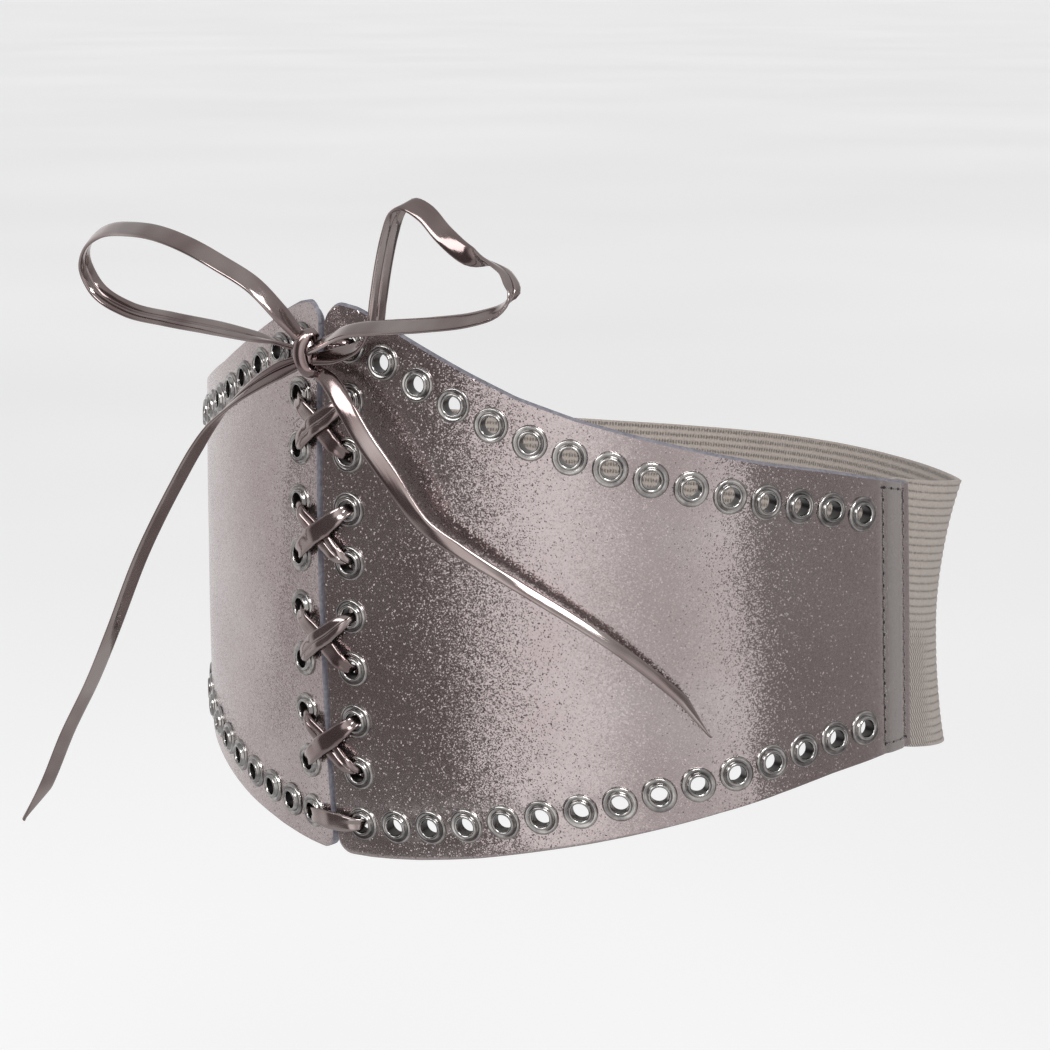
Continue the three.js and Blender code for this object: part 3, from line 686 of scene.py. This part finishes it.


# Thin dotted grooves run between the ribs, painted darker as painted shade in the grooves.
# Next to the panels the lower half is twilled.
turns = reckon("COSINE", reckon("MULTIPLY", course.outputs["Y"], math.pi / (RIB * MM)))
groove = reckon("POWER", reckon("ABSOLUTE", turns), 9)
dotted = reckon("COSINE", reckon("MULTIPLY", course.outputs["X"], 2 * math.pi / (DOT * MM)))
groove = reckon("MULTIPLY", groove, reckon("MULTIPLY_ADD", dotted, 0.3, 0.7))
off_middle = reckon("ABSOLUTE", reckon("SUBTRACT", course.outputs["X"], BAND_MIDDLE))
slant = reckon("MULTIPLY_ADD", course.outputs["Y"], -0.75, off_middle)
twill = reckon("SINE", reckon("MULTIPLY", slant, 2 * math.pi / (TWILL * MM)))
twill = reckon("MULTIPLY_ADD", twill, 0.9, 0.3)
beside = node(tree, "ShaderNodeMapRange", {"Value": off_middle}, From_Min=0.14, From_Max=0.15)
lower = node(tree, "ShaderNodeMapRange", {"Value": course.outputs["Y"]}, From_Min=0.002, From_Max=-0.01)
twilled = reckon("MULTIPLY", beside.outputs["Result"], lower.outputs["Result"])
lines = node(tree, "ShaderNodeMix", {0: twilled, 2: groove, 3: twill}, data_type="FLOAT")
fibres = node(tree, "ShaderNodeTexNoise", {"Vector": spots}, Scale=1700.0, Detail=3)
mixed = reckon("MULTIPLY_ADD", lines.outputs[0], -0.55, fibres.outputs["Fac"])
tone = ramp(
    tree,
    mixed,
    [(0.0, (0.13, 0.112, 0.1)), (0.35, (0.32, 0.28, 0.25)), (0.7, (0.4, 0.352, 0.317))],
)
weave = node(tree, "ShaderNodeBump", {"Height": mixed}, Strength=0.6, Distance=0.0003)
surface(tree, {"Base Color": tone, "Normal": weave.outputs["Normal"]}, Roughness=0.9, Sheen_Weight=0.1)


def band_place(way, share, out):
    past = max(min(way, 2 * HALF_GIRTH - way) - PANEL_LENGTH, 0)
    free = min(past / BAND_FREED, 1)
    free = free * free * (3 - 2 * free)
    to_back = 1 - past / (HALF_GIRTH - PANEL_LENGTH)
    middle = -BAND_LOW - BAND_SINK * (1 - to_back**3)
    reach = 1.15 if share > -0.15 else 0.85
    flare = TOP_FLARE if share > -0.15 else BOTTOM_FLARE
    flare = -0.75 + flare * ((share + 0.15) / reach) ** 2
    behind = -PANEL_WALL - 0.3
    return place(way, middle + share * ELASTIC_HEIGHT / 2, behind + (flare - behind) * free + out)


made = bmesh.new()
band_steps, band_rows = 190, 245
bmesh.ops.create_grid(made, x_segments=band_steps, y_segments=band_rows, size=0.5)
uv_layer = made.loops.layers.uv.new("band")
band_start = PANEL_LENGTH - ELASTIC_OVERLAP
band_run = 2 * BAND_MIDDLE / MM
for face in made.faces:
    for loop in face.loops:
        along, up = loop.vert.co.x + 0.5, loop.vert.co.y
        loop[uv_layer].uv = (along * band_run * MM, up * ELASTIC_HEIGHT * MM)
for v in made.verts:
    way = band_start + band_run * (v.co.x + 0.5)
    share = 2 * v.co.y
    groove = abs(math.cos(math.pi * (share * ELASTIC_HEIGHT / 2) / RIB)) ** 5
    v.co = band_place(way, share, -0.2 * groove + 0.12 * noise.noise(Vector((way * 0.08, share * 3, 3))))
band = finish_mesh("elastic_band", made, [elastic_weave])
wall = band.modifiers.new("wall", "SOLIDIFY")
wall.thickness = ELASTIC_WALL * MM
wall.offset = -1
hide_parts("elastic_back")
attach(band, "root")


# The box of stitches at each panel's end, which holds the elastic: dark thread, one short
# stitch after another down two lines, with a slanting line across the top and the bottom. The
# needle leaves a small hole between two stitches; a near-black dent there is painted shade inside it.
STITCH = 3.4
TOP_STITCHES = 2.6  # from the panel's top edge, and below from its bottom edge
BOTTOM_STITCHES = 2.8
THREAD_HALF = 0.26
LONG_LINE_DEPTH = -0.3  # sunk in the seams' grooves
SHORT_LINE_DEPTH = 0.08
thread, tree = new_material("thread")
spots = node(tree, "ShaderNodeTexCoord").outputs["Object"]
ply = node(tree, "ShaderNodeTexWave", {"Vector": spots}, bands_direction="DIAGONAL", Scale=900.0)
tone = ramp(tree, ply.outputs["Fac"], [(0.2, (0.06, 0.052, 0.05)), (0.9, (0.26, 0.24, 0.235))])
bump = node(tree, "ShaderNodeBump", {"Height": ply.outputs["Fac"]}, Strength=0.5, Distance=0.0001)
surface(tree, {"Base Color": tone, "Normal": bump.outputs["Normal"]}, Roughness=0.5)

# Near black: painted shade inside the needle holes.
needle_hole_painted_shade, tree = new_material("needle_hole_painted_shade")
surface(tree, Base_Color=(0.012, 0.01, 0.01, 1), Roughness=0.9)

for word, side in (("right", 1), ("left", -1)):
    corners = [
        (SEAM_FRONT, panel_top(SEAM_FRONT) - TOP_STITCHES),
        (SEAM_BACK, panel_top(SEAM_BACK) - TOP_STITCHES),
        (SEAM_BACK, panel_bottom(SEAM_BACK) + BOTTOM_STITCHES),
        (SEAM_FRONT, panel_bottom(SEAM_FRONT) + BOTTOM_STITCHES),
    ]
    made = bmesh.new()
    holes = bmesh.new()
    for start, end in zip(corners, corners[1:] + corners[:1]):
        run = Vector(end) - Vector(start)
        depth = LONG_LINE_DEPTH if abs(run.y) > abs(run.x) else SHORT_LINE_DEPTH
        count = max(2, round(run.length / STITCH))
        for i in range(count):
            mid = Vector(start) + run * (i + 0.5) / count
            ahead = Vector(start) + run * (i + 0.9) / count
            at = place(side * mid.x, mid.y, depth)
            along_thread = (place(side * ahead.x, ahead.y, depth) - at).normalized()
            out = directions(side * mid.x, mid.y)[2]
            aside = along_thread.cross(out).normalized()
            basis = Matrix((aside, along_thread, aside.cross(along_thread))).transposed().to_4x4()
            scale = Matrix.Diagonal((THREAD_HALF * MM, 0.37 * run.length / count * MM, 0.24 * MM, 1))
            laid = Matrix.Translation(at) @ basis @ scale
            bmesh.ops.create_uvsphere(made, u_segments=8, v_segments=6, radius=1, matrix=laid)
            pierced = Vector(start) + run * i / count
            at = place(side * pierced.x, pierced.y, depth - 0.17)
            scale = Matrix.Diagonal((0.5 * MM, 0.55 * MM, 0.16 * MM, 1))
            laid = Matrix.Translation(at) @ basis @ scale
            bmesh.ops.create_uvsphere(holes, u_segments=8, v_segments=6, radius=1, matrix=laid)
    needle_holes = finish_mesh(f"needle_holes_{word}", holes, [needle_hole_painted_shade])
    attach(needle_holes, "root")
    stitches = finish_mesh(f"stitches_{word}", made, [thread])
    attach(stitches, "root")


# The laced stretch: the same foil-coated lace, drawn through the two front columns. It crosses
# the centre gap in front and runs behind from eyelet to eyelet, down one way and up the other.
# It folds where it dives into an eyelet and opens out in between.
EYELET_RIM = 1.3
BEHIND = -4.1


def lacing_stops():
    """Each stop: along, height, depth, the lace's flat as a direction, its width and its fold."""
    stops = []
    level, upright = (1, 0), (0, 1)

    def add(along, height, out, across, width=1.0, fold=0.0):
        stops.append((along, height, out, across, width, fold))

    def through_eyelet(side, k, target, across, inward):
        along, height = column_eyelets[k]
        aim = Vector((target[0] - side * along, target[1] - height)).normalized()
        rows = [
            (3.7, EYELET_RIM + 0.75, across, 0.84, 0.25),
            (1.0, EYELET_RIM - 0.5, across, 0.62, 0.9),
            (0.0, -1.4, ((across[0] + 1) / 2, across[1] / 2), 0.6, 0.9),
            (0.0, BEHIND, level, 0.74, 0.2),
        ]
        for off, out, way, width, fold in rows if inward else rows[::-1]:
            add(side * along + aim.x * off, height + aim.y * off, out, way, width, fold)

    def crossing(side, a, b):
        drop = column_eyelets[b][1] - column_eyelets[a][1]
        if drop == 0:
            return upright
        wide = 2 * side * FRONT_INSET * (1 if drop > 0 else -1)
        length = math.hypot(drop, wide)
        return (abs(drop) / length, wide / length)

    order = list(range(COLUMN_COUNT)) + list(range(COLUMN_COUNT))[::-1]
    side = -1
    add(0.3, PANEL_RISE - 12.6, 3.9, upright, 0.8)
    front = upright
    came = (0.3, PANEL_RISE - 12.6)
    for i, k in enumerate(order):
        inward = i % 2 == 0
        after = order[i + 1] if i + 1 < len(order) else None
        if inward:
            through_eyelet(side, k, came, front, True)
            for share in (0.3, 0.7):
                height = column_eyelets[k][1] * (1 - share) + column_eyelets[after][1] * share
                add(side * FRONT_INSET, height, BEHIND, level)
            continue
        if after is None:
            through_eyelet(side, k, (5.2, PANEL_RISE - 11.6), upright, False)
            continue
        front = crossing(side, k, after)
        target = (-side * FRONT_INSET, column_eyelets[after][1])
        through_eyelet(side, k, target, front, False)
        drop = target[1] - column_eyelets[k][1]
        over = drop * side < 0
        for share in (0.36, 0.5, 0.64):
            along = side * FRONT_INSET * (1 - 2 * share)
            middle = (2.9 if over else 1.05) if drop else 2.0
            out = middle if share == 0.5 else (middle * 0.6 + 2.0 * 0.4)
            add(along, column_eyelets[k][1] + drop * share, out, front)
        came = (side * FRONT_INSET, column_eyelets[k][1])
        side = -side
    add(5.2, PANEL_RISE - 11.6, 4.3, upright, 0.8)
    return stops


stops = lacing_stops()
stop_places = [place(along, height, out) for along, height, out, *_ in stops]
stop_across = []
for along, height, _, across, *_ in stops:
    round_waist, rise, _ = directions(along, height)
    stop_across.append((round_waist * across[0] + rise * across[1]).normalized())
lacing_route, lacing_run = smooth_route(stop_places, 0.9 * MM)


def lacing_across(reach):
    i = min(int(reach), len(stops) - 2)
    return stop_across[i].lerp(stop_across[i + 1], reach - i)


def lacing_shape(way, reach, a, t):
    i = min(int(reach), len(stops) - 2)
    mix = reach - i
    width = stops[i][4] * (1 - mix) + stops[i + 1][4] * mix
    fold = stops[i][5] * (1 - mix) + stops[i + 1][5] * mix
    return a * width, t + fold * 1.6 * (abs(a) - 0.22)


lacing, _ = strip("lacing_lace", lacing_route, lacing_run, lacing_across, lacing_shape)
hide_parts("lacing")
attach(lacing, "root")


# The knot: the lace wrapped once round its own gathered strands and drawn tight.
# A ring of flat lace stands for the wrap, and a gathered core fills it.
WRAP_STEPS = 20
WRAP_HEIGHT = 5.6
WRAP_DEPTH = 2.5
WRAP_SAG = 2.3  # how far the wrap is pulled aside at its front and back
CORE_SIZE = (4.4, 4.0, 8.6)
wrap_points = []
for i in range(WRAP_STEPS + 3):
    angle = 2 * math.pi * i / WRAP_STEPS
    aside = 1.1 - WRAP_SAG * abs(math.sin(angle))
    turned = Vector((aside, -WRAP_DEPTH * math.sin(angle), WRAP_HEIGHT * math.cos(angle)))
    wrap_points.append(KNOT_CENTRE + turned * MM)
wrap_route, wrap_run = smooth_route(wrap_points, 0.8 * MM)


def wrap_shape(way, reach, a, t):
    bulge = 1.0 * (1 - (2 * a) ** 2)
    return a * 0.9, t * 0.85 + bulge - 0.35


wrap, _ = strip("knot_wrap", wrap_route, wrap_run, lambda reach: Vector((1, 0.0, 0.12)), wrap_shape)
made = bmesh.new()
bmesh.ops.create_icosphere(made, subdivisions=3, radius=0.5)
wide, deep, high = CORE_SIZE
for v in made.verts:
    ridge = 0.48 * math.sin(math.atan2(v.co.z, v.co.y) * 5)
    v.co = Vector((v.co.x * wide, v.co.y * (deep + ridge), v.co.z * (high + ridge)))
at_knot = Matrix.Translation(KNOT_CENTRE) @ Matrix.Scale(MM, 4)
bmesh.ops.transform(made, matrix=at_knot, verts=made.verts)
made.loops.layers.uv.new("lace")
core = finish_mesh("knot_core", made, [lace_foil], smooth_angle=180)
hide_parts("bow_knot")
for piece in (wrap, core):
    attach(piece, "root")


# The floor: a plain pale sweep of studio paper, far below the belt, which hangs at a waist's
# height. It glows a little, so that the ground behind the belt stays even.
FLOOR_LEVEL = -0.45
made = bmesh.new()
bmesh.ops.create_grid(made, x_segments=8, y_segments=8, size=60)
bmesh.ops.translate(made, vec=(0, 0, FLOOR_LEVEL), verts=made.verts)
pale, tree = new_material("pale_floor")
spots = node(tree, "ShaderNodeTexCoord").outputs["Object"]
mottle = node(tree, "ShaderNodeTexNoise", {"Vector": spots}, Scale=0.7, Detail=2)
tone = ramp(tree, mottle.outputs["Fac"], [(0.3, (0.595, 0.595, 0.6)), (0.7, (0.63, 0.63, 0.635))])
surface(tree, {"Base Color": tone, "Emission Color": tone}, Roughness=0.9, Emission_Strength=0.73)
floor = finish_mesh("floor", made, [pale])
floor.visible_glossy = False


# The light: a ring of large soft panels round the belt with dark stretches between them.
# How bright each direction is goes by its bearing, 0 in front of the belt and growing rightwards.
RING = [
    (-180, 0.55), (-140, 0.8), (-110, 0.86), (-68, 0.74), (-54, 0.6), (-44, 0.26), (-36, 0.12),
    (-6, 0.12), (-1, 0.18), (3, 0.5), (7, 1.2), (22, 1.28), (33, 0.98), (45, 0.74), (58, 0.68),
    (72, 0.88), (84, 1.06), (87, 0.85), (90, 0.22), (104, 0.24), (116, 0.3), (140, 0.38),
    (162, 0.42), (180, 0.55),
]
world = bpy.data.worlds.new("studio")
world.use_nodes = True
bpy.context.scene.world = world
tree = world.node_tree
ray = node(tree, "ShaderNodeTexCoord").outputs["Generated"]
parts = node(tree, "ShaderNodeSeparateXYZ", {"Vector": ray})
ahead = node(tree, "ShaderNodeMath", {0: parts.outputs["Y"]}, operation="MULTIPLY")
ahead.inputs[1].default_value = -1
bearing = node(
    tree, "ShaderNodeMath", {0: parts.outputs["X"], 1: ahead.outputs["Value"]}, operation="ARCTAN2"
)
turned = node(
    tree, "ShaderNodeMapRange", {"Value": bearing.outputs["Value"]}, From_Min=-math.pi, From_Max=math.pi
)
walls = ramp(tree, turned.outputs["Result"], [((a + 180) / 360, (b + 0.02, b, b)) for a, b in RING])

# Above and below the ring the room is an even grey.
height_share = node(tree, "ShaderNodeMapRange", {"Value": parts.outputs["Z"]}, From_Min=-1, From_Max=1)
above = ramp(
    tree,
    height_share.outputs["Result"],
    [(0.0, (1, 1, 1)), (0.22, (1, 1, 1)), (0.3, (0, 0, 0)), (0.6, (0, 0, 0)), (0.72, (1, 1, 1))],
)
rooms = ramp(
    tree,
    height_share.outputs["Result"],
    [(0.0, (0.6, 0.6, 0.6)), (0.4, (0.5, 0.5, 0.5)), (0.75, (0.5, 0.5, 0.5)), (1.0, (0.62, 0.62, 0.62))],
)
blend = node(tree, "ShaderNodeMix", data_type="RGBA")
tree.links.new(above, blend.inputs[0])
tree.links.new(walls, blend.inputs[6])
tree.links.new(rooms, blend.inputs[7])
tree.links.new(blend.outputs[2], tree.nodes["Background"].inputs["Color"])

# Two soft boxes give the small white glints on the lace, the eyelets and the leather's grains.
# Each has a bearing and a height in degrees, a width and a height in metres, and a power.
BOX_DISTANCE = 1.7
for name, towards, raised, wide, high, energy in (
    ("box_right", 55, 39, 0.7, 0.5, 15),
    ("box_front", -5, 27, 1.0, 0.6, 9),
):
    box = bpy.data.lights.new(name, "AREA")
    box.shape = "RECTANGLE"
    box.size = wide
    box.size_y = high
    box.energy = energy
    lamp = bpy.data.objects.new(name, box)
    towards, raised = math.radians(towards), math.radians(raised)
    level = math.cos(raised)
    aim = Vector((math.sin(towards) * level, -math.cos(towards) * level, math.sin(raised)))
    lamp.location = aim * BOX_DISTANCE
    lamp.rotation_euler = aim.to_track_quat("Z", "Y").to_euler()
    bpy.context.scene.collection.objects.link(lamp)

bpy.context.scene.view_settings.view_transform = "Standard"
